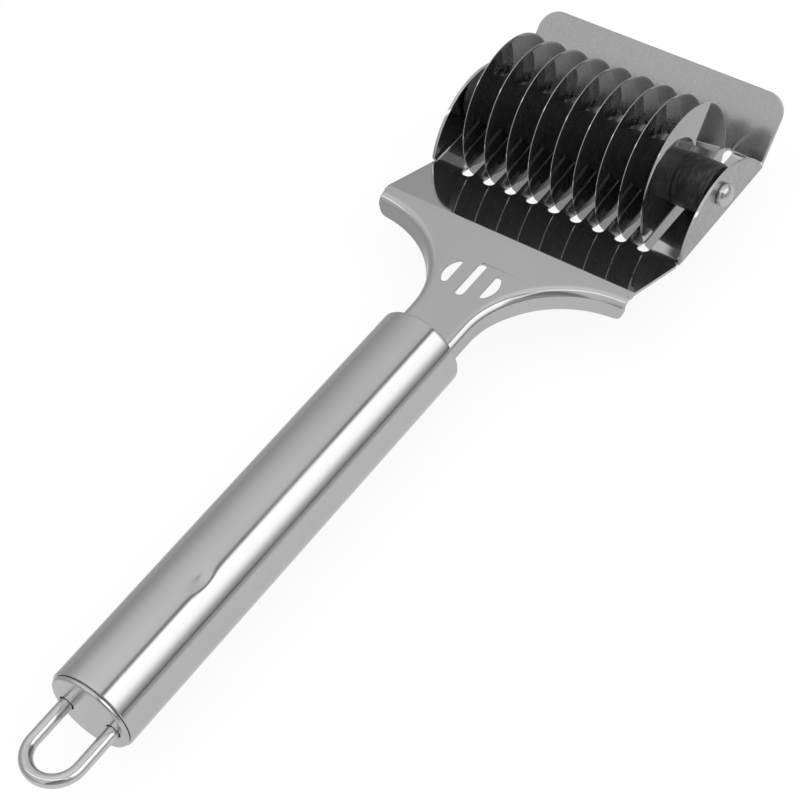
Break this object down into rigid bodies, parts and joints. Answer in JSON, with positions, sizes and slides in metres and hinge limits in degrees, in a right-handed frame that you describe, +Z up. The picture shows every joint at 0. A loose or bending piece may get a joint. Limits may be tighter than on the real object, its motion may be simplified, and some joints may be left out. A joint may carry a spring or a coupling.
{
  "type": "noodle cutter",
  "caption": "Hand-held noodle cutter: a roller of thin steel discs turns in a slotted steel head with a turned-up lip, on a tube handle with a wire hanging loop.",
  "frame": {"origin": "centre of the bounding box's underside, straight under the middle of the tool and level with the lowest point of the discs", "axes": "+X along the roller's axle, +Y from the hanging loop towards the lip of the head, +Z up, away from the dough"},
  "size_m": [0.0778, 0.243, 0.038],
  "materials": {
    "disc_steel": "mirror polished stainless steel",
    "sheet_steel": "pressed stainless sheet, polished, with fine scratches",
    "rivet_steel": "bright domed rivet heads",
    "tube_steel": "satin stainless tube",
    "cap_steel": "satin stainless cap with a bright rim",
    "wire_steel": "polished round wire",
    "black_plastic": "satin black moulding",
    "plug_plastic": "plain grey moulding, hidden in the tube"
  },
  "bodies": {
    "frame": {"head_plate": "sheet_steel", "axle": "rivet_steel", "handle_tube": "tube_steel", "tang_plug": "plug_plastic", "end_cap": "cap_steel"},
    "roller": {"disc_1": "disc_steel", "disc_2": "disc_steel", "disc_3": "disc_steel", "disc_4": "disc_steel", "disc_5": "disc_steel", "disc_6": "disc_steel", "disc_7": "disc_steel", "disc_8": "disc_steel", "disc_9": "disc_steel", "spacer_1": "black_plastic", "spacer_2": "black_plastic", "spacer_3": "black_plastic", "spacer_4": "black_plastic", "spacer_5": "black_plastic", "spacer_6": "black_plastic", "spacer_7": "black_plastic", "spacer_8": "black_plastic", "end_bush_left": "black_plastic", "end_bush_right": "black_plastic"},
    "loop": {"hang_loop": "wire_steel"}
  },
  "joints": [
    {"name": "roller_spin", "type": "hinge", "parent": "frame", "child": "roller", "pos_m": [0, 0.08848, 0.019], "axis": [1, 0, 0], "continuous": true},
    {"name": "loop_slide", "type": "slide", "parent": "frame", "child": "loop", "axis": [0, 1, 0], "range_m": [0, 0.0101]}
  ]
}
